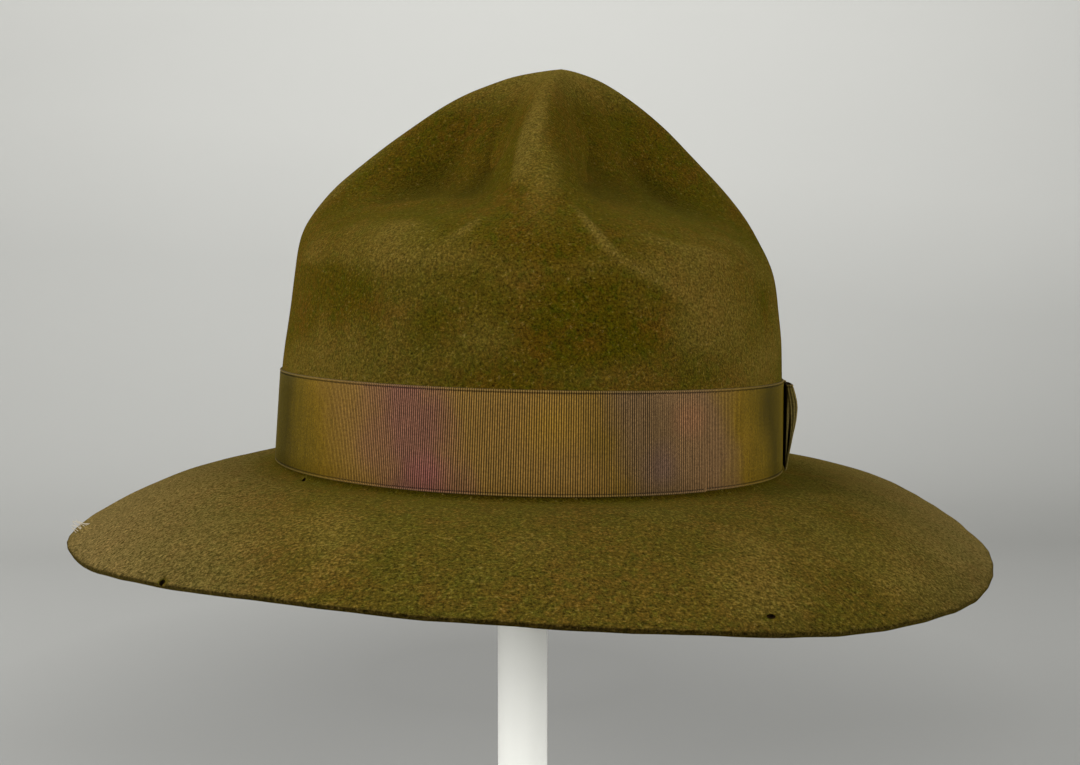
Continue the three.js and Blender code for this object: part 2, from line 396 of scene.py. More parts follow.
def landing(across, down):
    """Where the ray through a pixel meets the felt, and which way the felt faces there."""
    ray = Vector((across - PHOTO_WIDTH / 2, PHOTO_HEIGHT / 2 - down, -FOCAL_PIXELS))
    ray.rotate(SIGHT)
    place, normal, _, _ = felt_tree.ray_cast(CAMERA_PLACE.translation, ray.normalized())
    return place, normal


# %% [markdown]
# Where the crown was pinched, the felt creased. A thumb pressed the dents deeper beside the front ridge, which
# left the ridge's crest sharper, and fine raised lines run from its foot. A stroke here is a short path of
# pixels laid on the skin, with its lift and breadth in millimetres. Points near it are lifted or pressed in,
# and the lift fades to nothing at both ends. The last stroke turns up the brim's worn tip a little.

# %% Creases
CREASES = [
    {"path": [(550, 78), (538, 112), (525, 152), (510, 192)], "lift": 1.3, "breadth": 4.5},
    {"path": [(516, 98), (500, 138), (486, 178)], "lift": -1.5, "breadth": 6.5},
    {"path": [(581, 96), (585, 142), (594, 196)], "lift": -1.6, "breadth": 6.0},
    {"path": [(330, 221), (380, 209), (430, 202), (482, 199)], "lift": 1.0, "breadth": 3.4},
    {"path": [(640, 233), (684, 250), (735, 262)], "lift": 0.5, "breadth": 3.2},
    {"path": [(571, 203), (590, 226), (605, 244), (620, 260)], "lift": 1.0, "breadth": 1.8},
    {"path": [(617, 257), (640, 272), (668, 289), (694, 303)], "lift": 0.4, "breadth": 2.6},
    {"path": [(449, 240), (462, 232), (476, 222), (489, 212)], "lift": 0.9, "breadth": 1.7},
    {"path": [(489, 212), (500, 206), (512, 202)], "lift": 0.3, "breadth": 2.4},
    {"path": [(92, 526), (84, 531), (77, 536)], "lift": 1.3, "breadth": 2.8},
]
STROKE_ENDS = (0.02, 0.98)


def nearest_on_path(points, path):
    """For each point its distance from a path, and its share of the way along it."""
    lengths = [(end - start).length for start, end in zip(path, path[1:])]
    whole = sum(lengths)
    best = np.full(len(points), np.inf)
    share = np.zeros(len(points))
    passed = 0
    for start, end, length in zip(path, path[1:], lengths):
        way = np.array(end - start)
        along = np.clip(((points - np.array(start)) @ way) / length**2, 0, 1)
        gap = np.linalg.norm(points - np.array(start) - along[:, None] * way, axis=1)
        nearer = gap < best
        best[nearer] = gap[nearer]
        share[nearer] = ((passed + along * length) / whole)[nearer]
        passed += length
    return best, share


points = read_points(felt.data)
normals = read_points(felt.data, "normal")
for crease in CREASES:
    path = [landing(*pixel)[0] for pixel in crease["path"]]
    gap, share = nearest_on_path(points, path)
    fade = np.sin(math.pi * np.clip(share, *STROKE_ENDS)) ** 0.5
    welt = np.exp(-((gap / (crease["breadth"] * MM)) ** 2))
    points = points + normals * (welt * fade * crease["lift"] * MM)[:, None]
write_points(felt.data, points)
print("creases", len(CREASES))

# %% [markdown]
# Felt wears on its high places, and its hollows get painted shade. To know which is which, a copy of the
# skin is smoothed until its dents are nearly gone. Where the copy lies outside the skin there is a hollow, and
# where it lies inside there is a ridge. The difference is kept on the felt as an attribute for its finish. Two
# more attributes tell the raw rim and the brim from the rest.

# %% High and low places
SMOOTHING_STEPS = 60
RIM_UPRIGHT = 0.15
RIM_BLEND = 0.2
BRIM_FADE = 12 * MM

relaxed = felt.copy()
relaxed.data = felt.data.copy()
bpy.context.collection.objects.link(relaxed)
use_modifier(relaxed, "SMOOTH", factor=1.0, iterations=SMOOTHING_STEPS)
normals = read_points(felt.data, "normal")
hollow = np.einsum("ij,ij->i", read_points(relaxed.data) - read_points(felt.data), normals)
keep_value(felt.data, "hollow", hollow / MM)
bpy.data.objects.remove(relaxed)
print("hollows from", round(hollow.min() / MM, 2), "to", round(hollow.max() / MM, 2), "mm")

upright = 1 - np.abs(normals[:, 2])
outside = beyond_foot(carried(read_points(felt.data), HAT_PLACE.inverted()))
rim = np.clip((upright - RIM_UPRIGHT) / RIM_BLEND, 0, 1)
keep_value(felt.data, "rim", np.where(outside > RIM_STARTS, rim, 0.0))
keep_value(felt.data, "brim", np.clip(outside / BRIM_FADE, 0, 1))

# %% [markdown]
# Moths and pins left a few small marks: a dot and a slit near the front edge of the brim, and a dot beside
# the ribbon. Each will be cut with a small ball, squashed to the mark's breadth, height and depth as the
# camera sees them. The balls carry a dark finish of their own, painted shade for the shaded inside of a hole,
# and the cut faces take it over.

# %% Marks in the felt
MARKS = [
    {"pixel": (162, 582.5), "size": (1.9, 1.9, 3.6)},
    {"pixel": (771, 616.5), "size": (2.8, 1.2, 3.4)},
    {"pixel": (304, 480), "size": (1.1, 1.8, 4.0)},
]
HOLE_SHADE_FIBRES = 1800
HOLE_SHADE_DARK = shade(18, 12, 5)
HOLE_SHADE_PALE = shade(38, 28, 12)


# Painted shade for the inside of a cut hole: a dark fibrous colour.
def painted_hole_shade_finish():
    hole_finish = Finish("painted_hole_shade", Roughness=1.0, Specular_IOR_Level=0.0)
    fibres = clouds(hole_finish, own_place(hole_finish), HOLE_SHADE_FIBRES)
    hole_finish.feed("Base Color", ramp(hole_finish, fibres, (0.3, HOLE_SHADE_DARK), (0.7, HOLE_SHADE_PALE)))
    return hole_finish.material


painted_hole_shade = painted_hole_shade_finish()
cutters = []
for mark in MARKS:
    place, _ = landing(*mark["pixel"])
    bpy.ops.mesh.primitive_uv_sphere_add(segments=20, ring_count=12, radius=1)
    cutter = bpy.context.object
    size = Matrix.Diagonal((*(breadth / 2 * MM for breadth in mark["size"]), 1))
    cutter.data.transform(Matrix.Translation(place) @ SIGHT.to_matrix().to_4x4() @ size)
    cutter.data.materials.append(painted_hole_shade)
    cutters.append(cutter)

# %% [markdown]
# The felt's finish is a short nap of fine fibres. Under it lies a mottled colour, because the hat faded
# unevenly between olive and brown: broad clouds, patches the size of a coin, and blotches of a millimetre or
# two. High places and the peak are worn a little paler. Hollows are darker with painted shade, and the brim
# is paler with painted sheen, most towards both sides. The nap itself is a fine noise in colour and bump, with
# coarser tangles on the brim. Sheen gives the pale glow that fibres show where the surface turns away. A
# noise's scale says how many of its cells fit into a metre.

# %% The felt's colours
OLIVE_FELT = shade(54, 47, 3)
BROWN_FELT = shade(61, 47, 5)
GREEN_FELT = shade(47, 48, 3)
RUST_FELT = shade(69, 45, 8)
WORN_FELT = shade(92, 76, 31)
HOLLOW_SHADE_FELT = shade(34, 27, 0)
SHEEN_PAINTED_FELT = shade(101, 84, 50)
FLECK_FELT = shade(124, 106, 62)
RIM_FELT = shade(28, 20, 4)
FELT_SHEEN = (0.92, 0.77, 0.15, 1.0)
DRIFT_SCALE, PATCH_SCALE, BLOTCH_SCALE, TUFT_SCALE, TANGLE_SCALE = 18, 70, 420, 1450, 920
PEAK_FROM, PEAK_TO = 282 * MM, 298 * MM
RIGHT_SIDE_FROM, RIGHT_SIDE_TO = -70 * MM, -140 * MM
LEFT_SIDE_FROM, LEFT_SIDE_TO = 95 * MM, 155 * MM
BRIM_PAINTED_SHEEN = 0.08
RIM_DARKNESS = 0.9
BRIM_TANGLES, CROWN_TANGLES = 0.65, 0.35
NAP_HEIGHT = 1.1 * MM


def mottled_felt(finish, place):
    """The felt's colour where it is neither worn nor deep."""
    drift = clouds(finish, place, DRIFT_SCALE, 3)
    patch = clouds(finish, place, PATCH_SCALE, 4, 0.6)
    blotch = clouds(finish, place, BLOTCH_SCALE, 3, 0.65)
    olive = blend(finish, level(finish, drift, 0.38, 0.62), OLIVE_FELT, BROWN_FELT)
    patchy = blend(finish, level(finish, patch, 0.46, 0.64, 0, 0.6), olive, RUST_FELT)
    green = blend(finish, level(finish, blotch, 0.5, 0.36, 0, 0.7), patchy, GREEN_FELT)
    return blend(finish, level(finish, blotch, 0.56, 0.68, 0, 0.3), green, RUST_FELT)


def worn_felt(finish, place, fresh, brim):
    """Worn on high places, painted shade in hollows, painted sheen on the brim, dark on the raw rim."""
    across, _, up = split(finish, place)
    high = carried_value(finish, "hollow")
    peak = level(finish, up, PEAK_FROM, PEAK_TO, 0, 0.6)
    worn = blend(finish, level(finish, high, -0.65, -1.3, 0, 0.55) + peak, fresh, WORN_FELT)
    # Painted shade: the felt is darkened in its hollows.
    deep = blend(finish, level(finish, high, 0.1, 1.2, 0, 0.8), worn, HOLLOW_SHADE_FELT)
    # Painted sheen: the brim is paler, most towards both sides.
    right = level(finish, across, RIGHT_SIDE_FROM, RIGHT_SIDE_TO, 0, 0.65)
    left = level(finish, across, LEFT_SIDE_FROM, LEFT_SIDE_TO, 0, 0.5)
    painted_sheen = blend(finish, (right + left + BRIM_PAINTED_SHEEN) * brim, deep, SHEEN_PAINTED_FELT)
    return blend(finish, carried_value(finish, "rim") * RIM_DARKNESS, painted_sheen, RIM_FELT)


def felt_finish():
    finish = Finish(
        "olive_felt",
        Roughness=0.95,
        Specular_IOR_Level=0.0,
        Sheen_Weight=0.075,
        Sheen_Roughness=0.4,
        Sheen_Tint=FELT_SHEEN,
    )
    place = own_place(finish)
    brim = carried_value(finish, "brim")
    plain = worn_felt(finish, place, mottled_felt(finish, place), brim)
    tuft = clouds(finish, place, TUFT_SCALE, 3, 0.7)
    tangle = clouds(finish, place, TANGLE_SCALE, 4, 0.72)
    fine = level(finish, tuft, 0.26, 0.76, 0.15, 1.95)
    coarse = level(finish, tangle, 0.34, 0.66, -0.8, 0.86) * (brim * BRIM_TANGLES + CROWN_TANGLES) + 1.0
    light_fibres = level(finish, tangle, 0.6, 0.72, 0, 0.45)
    finish.feed("Base Color", blend(finish, light_fibres, toned(finish, plain, fine * coarse), FLECK_FELT))
    finish.feed("Normal", bump(finish, tuft, NAP_HEIGHT, 0.9))
    return finish.material


felt.data.materials.append(felt_finish())
felt.data.materials.append(painted_hole_shade)

# %% [markdown]
# Now the marks are cut. A Boolean modifier takes each ball out of the felt and hands the ball's painted shade
# to the faces that it leaves. The balls have done their work then and are removed.

# %% Cutting the marks
for cutter in cutters:
    settings = {"operation": "DIFFERENCE", "solver": "EXACT", "material_mode": "TRANSFER", "object": cutter}
    use_modifier(felt, "BOOLEAN", **settings)
    bpy.data.objects.remove(cutter)
print("felt after cutting", len(felt.data.vertices), "points")

# %% [markdown]
# At the brim's tip on the wearer's right the edge is frayed: a few pale fibres lie loose along it. Each is a
# thin Bezier curve with a round section. Its root lies in the felt below a pixel of the photograph, and its
# other end is told in millimetres across and up, as the camera sees it. Joined to the felt, they stay with it.

# %% Loose fibres
FIBRE_RADIUS = 0.09 * MM
FIBRE_ROOT = 0.2 * MM
FIBRE_COLOUR = shade(188, 178, 158)
FIBRES = [
    {"root": (90, 523.5), "reach": (-4.6, 0.3), "bend": 0.5},
    {"root": (88, 525), "reach": (-3.2, 1.3), "bend": 0.4},
    {"root": (86, 526), "reach": (-4.4, 1.6), "bend": -0.4},
    {"root": (84, 527.5), "reach": (-2.6, 2.6), "bend": 0.5},
    {"root": (82, 529), "reach": (-3.6, 1.2), "bend": -0.4},
    {"root": (80, 531), "reach": (-2.4, 3.3), "bend": 0.6},
    {"root": (78, 533), "reach": (-1.8, 1.7), "bend": -0.5},
    {"root": (79, 532), "reach": (0.6, 2.9), "bend": 0.7},
    {"root": (76, 535), "reach": (-1.2, 2.6), "bend": 0.4},
]


def fibre(root, reach, bend):
    place, normal = landing(*root)
    tip = place + SIGHT @ Vector((*reach, 0)) * MM
    sideways = (tip - place).cross(SIGHT @ Vector((0, 0, 1))).normalized() * bend * MM
    bpy.ops.curve.primitive_bezier_curve_add(location=(0, 0, 0))
    piece = bpy.context.object
    piece.data.bevel_depth = FIBRE_RADIUS
    piece.data.bevel_resolution = 1
    piece.data.resolution_u = 8
    first, last = piece.data.splines[0].bezier_points
    first.co, first.handle_right = place - normal * FIBRE_ROOT, place.lerp(tip, 0.3) + sideways
    last.co, last.handle_left = tip, place.lerp(tip, 0.7) - sideways
    bpy.ops.object.convert(target="MESH")
    piece.data.materials.append(fibre_finish)
    return piece


fibre_finish = Finish("pale_fibre", Base_Color=FIBRE_COLOUR, Roughness=0.8).material
fibres = [fibre(**settings) for settings in FIBRES]
pick(felt)
for piece in fibres:
    piece.select_set(True)
bpy.ops.object.join()
smooth(felt, 50)
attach(felt, "root")
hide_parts("felt_body")
print("felt with its fibres", len(felt.data.polygons), "faces")

# %% [markdown]
# Grosgrain is a ribbon with ribs across it, woven with fine close warps over thick wefts. The band, the bow
# and the knot are all cut from it, so one function weaves a closed loop of ribbon. It starts as a thin tube
# with a double wall. The tube is unrolled in thought: the angle of a point is its place along the ribbon, its
# height is its place across, and its radius says whether it is on the face or on the back.

# %% Weaving a loop of ribbon
RIB_PITCH = 0.72 * MM
RIB_HEIGHT = 0.16 * MM
RIB_STEPS = 4
RIB_PROFILE = np.array([0.0, 0.72, 1.0, 0.72])
BACK_RADIUS = 0.5
# From a woven edge inwards: places in millimetres, the height of its bead there, and how far the ribs rise
EDGE_LEVELS = [0.0, 0.2, 0.5, 0.85, 1.2]
EDGE_BEAD = [-0.28, 0.02, 0.1, -0.16, 0.0]
EDGE_RIBS = [0.3, 1, 1, 0.5, 1]


def ribbon_loop(name, length, breadth, inner_levels):
    """A double-walled tube whose points know their share of the loop, their level across and their side."""
    ribs = round(length / RIB_PITCH)
    edge = np.array(EDGE_LEVELS) * MM
    inner = np.linspace(edge[-1], breadth - edge[-1], inner_levels + 2)[1:-1]
    levels = [*edge, *inner, *(breadth - edge[::-1])]
    bpy.ops.mesh.primitive_circle_add(vertices=ribs * RIB_STEPS, radius=1)
    piece = edit_new(name)
    for start, end in zip(levels, levels[1:]):
        bpy.ops.mesh.extrude_region_move(TRANSFORM_OT_translate={"value": (0, 0, end - start)})
    bpy.ops.mesh.extrude_region_move()
    bpy.ops.transform.resize(value=(BACK_RADIUS, BACK_RADIUS, 1))
    bpy.ops.mesh.extrude_region_move(TRANSFORM_OT_translate={"value": (0, 0, -breadth)})
    bpy.ops.mesh.select_all(action="DESELECT")
    bpy.ops.mesh.select_non_manifold()
    bpy.ops.mesh.bridge_edge_loops()
    leave_edit()
    return piece, ribs


# %% [markdown]
# Each point of the tube is then laid where the real ribbon runs, with a rib every 0.72 mm and a bead along
# both woven edges. Its share of the loop, its place across and the height of its rib are kept as an attribute,
# because the ribbon's finish follows the weave and not the room around it.

# %% Laying the ribbon
def lay_ribbon(name, length, breadth, inner_levels, place):
    """Weaves a loop and lays it where place(share, height, face, out) says that each of its points goes."""
    piece, ribs = ribbon_loop(name, length, breadth, inner_levels)
    raw = read_points(piece.data)
    share = (np.arctan2(raw[:, 1], raw[:, 0]) / (2 * math.pi)) % 1.0
    face = np.hypot(raw[:, 0], raw[:, 1]) > (1 + BACK_RADIUS) / 2
    step = np.round(share * ribs * RIB_STEPS).astype(int)
    from_edge = np.minimum(raw[:, 2], breadth - raw[:, 2])
    edge = np.array(EDGE_LEVELS) * MM
    bead = np.interp(from_edge, edge, EDGE_BEAD)
    rib = RIB_PROFILE[step % RIB_STEPS] * np.interp(from_edge, edge, EDGE_RIBS)
    out = np.where(face, (rib - 1) * RIB_HEIGHT + bead * MM, 0)
    laid = np.array([place(*values) for values in zip(share, raw[:, 2], face, out)])
    write_points(piece.data, laid)
    weave = np.stack([share, raw[:, 2] / breadth, np.where(face, rib, 1.0)], axis=1)
    keep_value(piece.data, "weave", weave)
    edit(piece)
    bpy.ops.mesh.normals_make_consistent(inside=False)
    leave_edit()
    smooth(piece)
    print(name, ribs, "ribs,", len(piece.data.polygons), "faces")
    return piece


# %% [markdown]
# The ribbon round the crown is pulled tight over the oval foot of the wall, and its lower edge follows the
# felt where it bends out into the brim. The form of the wall is known only roughly, so it is felt out first:
# rays shot straight in at the crown, all the way round at a few heights, tell how far out the skin lies. A
# tight ribbon bridges the felt's shallow hollows, so between its edges it runs straight.

# %% Where the wall lies
PROBE_DISTANCE = 20 * MM
PROBE_ANGLES = np.linspace(0, 2 * math.pi, 361)
BREAK_HEIGHTS = np.linspace(-2.8 * MM, -0.6 * MM, 4)
WALL_HEIGHTS = np.linspace(0, BAND_TOP + 2 * MM, 12)
PROBE_HEIGHTS = np.concatenate([BREAK_HEIGHTS, WALL_HEIGHTS])


def away_from(angle):
    return Vector((math.cos(angle) / FOOT_HALF_WIDTH, math.sin(angle) / FOOT_HALF_LENGTH, 0)).normalized()


def foot_place(angle, up):
    return Vector((FOOT_HALF_WIDTH * math.cos(angle), FOOT_HALF_LENGTH * math.sin(angle), up))


def probe(angle, up):
    """How far outside the oval foot the felt's skin lies."""
    start = HAT_PLACE @ (foot_place(angle, up) + away_from(angle) * PROBE_DISTANCE)
    ray = HAT_PLACE.to_3x3() @ -away_from(angle)
    return PROBE_DISTANCE - felt_tree.ray_cast(start, ray)[3]


felt_wall = np.array([[probe(angle, up) for angle in PROBE_ANGLES] for up in PROBE_HEIGHTS])
low, high = round(felt_wall.min() / MM, 2), round(felt_wall.max() / MM, 2)
print("the wall lies", low, "to", high, "mm outside its foot")
first = len(BREAK_HEIGHTS)
rising = (WALL_HEIGHTS / WALL_HEIGHTS[-1])[:, None]
straight = felt_wall[first] * (1 - rising) + felt_wall[-1] * rising
bulge = np.maximum(felt_wall[first:] - straight, 0).max(axis=0)
WALL = felt_wall.copy()
WALL[first:] = straight + bulge
print("the ribbon stands up to", round((WALL - felt_wall).max() / MM, 2), "mm off the felt's hollows")


def wall_point(angle, up, out):
    """A place over the crown's wall in the hat's frame: its angle, its height, its distance out of the felt."""
    column = (angle % (2 * math.pi)) / PROBE_ANGLES[1]
    left = min(int(column), len(PROBE_ANGLES) - 2)
    near = WALL[:, left] * (1 - column + left) + WALL[:, left + 1] * (column - left)
    return foot_place(angle, up) + away_from(angle) * (float(np.interp(up, PROBE_HEIGHTS, near)) + out)


# %% [markdown]
# The ribbon's loop starts and ends under the bow, where a real one is joined too. Places along it are told
# by their way from the middle of the front towards the wearer's left, so the front is easy to compare with
# the photograph. A fold once pressed into it left a fine upright crease with a small step in the lower edge.

# %% The band
BAND_BREADTH = BAND_TOP - BAND_BOTTOM
BAND_GAP = 0.1 * MM
RIBBON_THICKNESS = 0.42 * MM
CREASE_ALONG = 49.5 * MM
CREASE_BREADTH = 0.6 * MM
CREASE_DEPTH = 0.22 * MM
CREASE_REACH = 9 * MM
CREASE_REST = 0.15
CREASE_STEP = 0.22 * MM
CREASE_FADE = 30 * MM
CREASE_LOW = 8 * MM
OVAL_STEPS = 2880


def way_along(path):
    """The way along a path up to each of its points."""
    return np.concatenate([[0], np.cumsum(np.linalg.norm(np.diff(path, axis=0), axis=1))])


def oval_table():
    """The angles round the oval, and the way along it from the wearer's left by way of the back."""
    angles = np.linspace(0, 2 * math.pi, OVAL_STEPS + 1)
    half_width = FOOT_HALF_WIDTH + BAND_GAP + RIBBON_THICKNESS / 2
    half_length = FOOT_HALF_LENGTH + BAND_GAP + RIBBON_THICKNESS / 2
    return angles, way_along(np.stack([half_width * np.cos(angles), half_length * np.sin(angles)], axis=1))


OVAL_ANGLES, OVAL_ALONG = oval_table()
BAND_LENGTH = OVAL_ALONG[-1]
FRONT_MIDDLE = 0.75 * BAND_LENGTH


def band_place(share, height, face, out):
    along = share * BAND_LENGTH
    angle = float(np.interp(along, OVAL_ALONG, OVAL_ANGLES))
    past = along - FRONT_MIDDLE - CREASE_ALONG
    depth = CREASE_REST + math.exp(-((height / CREASE_REACH) ** 2))
    crease = math.exp(-((past / CREASE_BREADTH) ** 2)) * depth
    step = math.exp(-past / CREASE_FADE) if past > 0 else 0
    low = max(0, 1 - height / CREASE_LOW)
    up = BAND_BOTTOM + height + CREASE_STEP * low * step
    lift = BAND_GAP + (RIBBON_THICKNESS if face else 0) + out - CREASE_DEPTH * crease * face
    return HAT_PLACE @ wall_point(angle, up, lift)


band = lay_ribbon("band", BAND_LENGTH, BAND_BREADTH, 5, band_place)
print("the band is", BAND_LENGTH, "long")

# %% [markdown]
# The ribbon faded in broad patches of gold, tan, purple and grey. Towards both sides, where it turns away,
# it is painted dark olive as painted shade. The patches are a colour ramp over the way along the band, from
# the middle of its front in millimetres. Round stains lie over them, each told by its place along and across
# the band, its breadth and its strength.

# %% The ribbon's colours
GOLD = shade(86, 66, 10)
TAN = shade(93, 69, 28)
PURPLE = shade(86, 57, 42)
OCHRE = shade(89, 67, 27)
BROWN = shade(82, 62, 20)
GREY = shade(76, 58, 34)
PINK = shade(87, 65, 39)
OLIVE = shade(70, 56, 5)
DARK_OLIVE = shade(46, 38, 2)
GREY_OLIVE = shade(80, 70, 34)
SELVEDGE = shade(106, 88, 50)
BAND_ZONES = [
    (-452, OLIVE),
    (-418, TAN),
    (-378, OCHRE),
    (-341, PURPLE),
    (-300, BROWN),
    (-262, GOLD),
    (-225, TAN),
    (-190, OLIVE),
    # Painted shade where the band turns away on the wearer's right.
    (-150, DARK_OLIVE),
    (-114, DARK_OLIVE),
    (-101, OLIVE),
    (-86, GOLD),
    (-68, TAN),
    (-52, PURPLE),
    (-38, PURPLE),
    (-26, OCHRE),
    (4, OCHRE),
    (14, BROWN),
    (22, GREY),
    (32, GREY),
    (42, PINK),
    (52, PINK),
    (68, GOLD),
    (81, OLIVE),
    # Painted shade where the band turns away on the wearer's left.
    (92, DARK_OLIVE),
    (150, OLIVE),
]
BAND_STAINS = [
    {"along": -39, "across": 5, "breadth": 9, "colour": shade(96, 52, 50), "share": 0.45},
    {"along": -60, "across": 12, "breadth": 9, "colour": shade(90, 62, 40), "share": 0.5},
    {"along": -2, "across": 21, "breadth": 12, "colour": shade(100, 76, 18), "share": 0.6},
    {"along": 33, "across": 9, "breadth": 9, "colour": shade(72, 54, 44), "share": 0.7},
    {"along": 42, "across": 22, "breadth": 8, "colour": shade(102, 68, 44), "share": 0.5},
    {"along": 12, "across": 16, "breadth": 7, "colour": shade(74, 57, 14), "share": 0.6},
]

# %% [markdown]
# The finish reads the weave that each point carries, and counts in millimetres. The borders of the patches
# lean a little and are shaken by a slow noise, so that none is straight. Fine streaks follow the ribs, short
# picks show where the wefts lie, and every rib gets a painted highlight on its back and painted shade in the
# groove beside it. The woven edges are a little paler.

# %% The grosgrain's finish
RIBBON_SHEEN = (1.0, 0.8, 0.35, 1.0)
SHEET_BREADTH = 31
SLANT = 9
SLOW_SCALE = 0.055
STREAKS = {"lengthways": 1.4, "crossways": 2.2, "detail": 2}
PICKS = {"lengthways": 1.2, "crossways": 38, "detail": 2, "roughness": 0.7}
THREADS = {"lengthways": 0.4, "crossways": 110, "detail": 1}
THREAD_HEIGHT = 0.08 * MM


def stretched(finish, along, across, lengthways, crossways, detail, roughness=0.5):
    """A noise with its own number of cells for each millimetre along a ribbon, and for its whole breadth."""
    return clouds(finish, flat_place(finish, along * lengthways, across * crossways), 1.0, detail, roughness)


def ribbon_finish(name, zones, length, start, wander, painted_groove_shade, stains=()):
    """Grosgrain in zones of colour. Zones are told in millimetres, and the piece begins at start."""
    sheen = {"Sheen_Weight": 0.015, "Sheen_Roughness": 0.4, "Sheen_Tint": RIBBON_SHEEN}
    finish = Finish(name, Specular_IOR_Level=0.05, **sheen)
    share, across, rib = split(finish, carried_value(finish, "weave", "Vector"))
    along = share * (length / MM)
    sheet = flat_place(finish, along, across * SHEET_BREADTH)
    slow = clouds(finish, sheet, SLOW_SCALE, 2)
    shaken = share + (slow - 0.5) * (wander * MM / length) + (across - 0.5) * (SLANT * MM / length)
    colour = ramp(finish, shaken, *[((place - start) * MM / length, colour) for place, colour in zones])
    for stain in stains:
        away = distance(finish, sheet, (stain["along"] - start, stain["across"], 0))
        ragged = away + (slow - 0.5) * stain["breadth"]
        strength = level(finish, ragged, stain["breadth"], stain["breadth"] * 0.25, 0, stain["share"])
        colour = blend(finish, strength, colour, stain["colour"])
    streak = level(finish, stretched(finish, along, across, **STREAKS), 0.3, 0.7, 0.84, 1.16)
    pick_tone = level(finish, stretched(finish, along, across, **PICKS), 0.3, 0.7, 0.7, 1.3)
    # Painted highlight on the ribs' backs and painted shade in their grooves.
    rib_light_and_shade = level(finish, rib, 0.3, 0.9, painted_groove_shade, 1.8 - painted_groove_shade * 0.6)
    woven = toned(finish, colour, streak * rib_light_and_shade * pick_tone)
    selvedge = level(finish, across, 0.978, 0.986) + level(finish, across, 0.02, 0.01)
    finish.feed("Base Color", blend(finish, selvedge * level(finish, rib, 0, 1, 0.1, 0.45), woven, SELVEDGE))
    finish.feed("Roughness", level(finish, rib, 0.0, 1.0, 0.9, 0.6))
    finish.feed("Normal", bump(finish, stretched(finish, along, across, **THREADS), THREAD_HEIGHT, 0.5))
    return finish.material


look = {"start": -FRONT_MIDDLE / MM, "wander": 20, "painted_groove_shade": 0.06, "stains": BAND_STAINS}
band.data.materials.append(ribbon_finish("faded_grosgrain", BAND_ZONES, BAND_LENGTH, **look))
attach(band, "root")
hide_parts("hat_band")

# %% [markdown]
# The bow is flat: one ribbon folded there and back into two loops, and a short ribbon wrapped round its
# middle. The loops run level round the crown, so the same weaving function makes them. Only the path differs:
# out along the front of the loops, round the end, and back behind. Seen from above, it is an oval with nearly
# square ends, because a ribbon turns round there in a small blunt fold. A table of points and of the way along
# them keeps the ribs evenly spaced round such a fold.

# %% A blunt loop
LOOP_STEPS = 7200


def blunt(value, bluntness):
    return math.copysign(abs(value) ** bluntness, value)


def loop_table(corner, first_turn, half_reach, half_depth):
    """Points of a loop's unit path, and the share of the loop's length that lies before each."""
    turns = np.linspace(first_turn, first_turn + 2 * math.pi, LOOP_STEPS + 1)
    path = np.array([corner(turn) for turn in turns])
    along = way_along(path * [half_reach, half_depth])
    return path, along / along[-1]


def on_loop(table, share):
    path, shares = table
    return float(np.interp(share, shares, path[:, 0])), float(np.interp(share, shares, path[:, 1]))


def over_band(along, up, out):
    """A place over the band on the wearer's left: its way towards the back, its height and how far out."""
    return wall_point(along / FOOT_HALF_LENGTH, up, 2 * BAND_GAP + RIBBON_THICKNESS + out)


# %% [markdown]
# The loops' ends are all that the photograph shows of the bow. They stand off the band most at mid height and
# open most near the top, so both are told by a table from their lower edge to the upper one. Towards the knot
# the loops are pinched flat, squeezed a little, and lie in soft folds.

# %% The bow's loops
BOW_HALF_LENGTH = 33 * MM
BOW_BREADTH = 29 * MM
BOW_THICKNESS = 0.42 * MM
BOW_PINCH = 0.25
BOW_HALF_DEPTH = 1.5 * MM
KNOT_THICKNESS = 0.5 * MM
BOW_SEAT = BAND_GAP + KNOT_THICKNESS
BOW_MIDDLE = (BAND_TOP + BAND_BOTTOM) / 2 - 0.5 * MM
BOW_LENGTH = 4 * BOW_HALF_LENGTH
FOLD_DEPTH = 0.3 * MM
FOLD_COUNT = 3.5
FOLD_FADE = 3.2
FOLD_BLUNTNESS = 0.3
SQUEEZE = 0.07
SQUEEZE_BREADTH = 0.3
END_HEIGHTS = [0, 0.06, 0.17, 0.27, 0.34, 0.44, 0.53, 0.62, 0.73, 0.81, 0.9, 1]
END_GAPS = [0.3, 0.7, 1.1, 1.5, 1.7, 1.8, 1.7, 1.4, 1.0, 0.7, 0.35, 0.15]
END_LIFTS = [0.05, 0.1, 0.25, 0.5, 0.75, 1.3, 2.2, 3.1, 3.8, 3.9, 3.5, 2.6]


def bow_corner(turn):
    """The unit path of the bow: along the band and out from it."""
    return math.sin(turn), blunt(math.cos(turn), FOLD_BLUNTNESS)


BOW_LOOP = loop_table(bow_corner, 0, BOW_HALF_LENGTH, BOW_HALF_DEPTH)


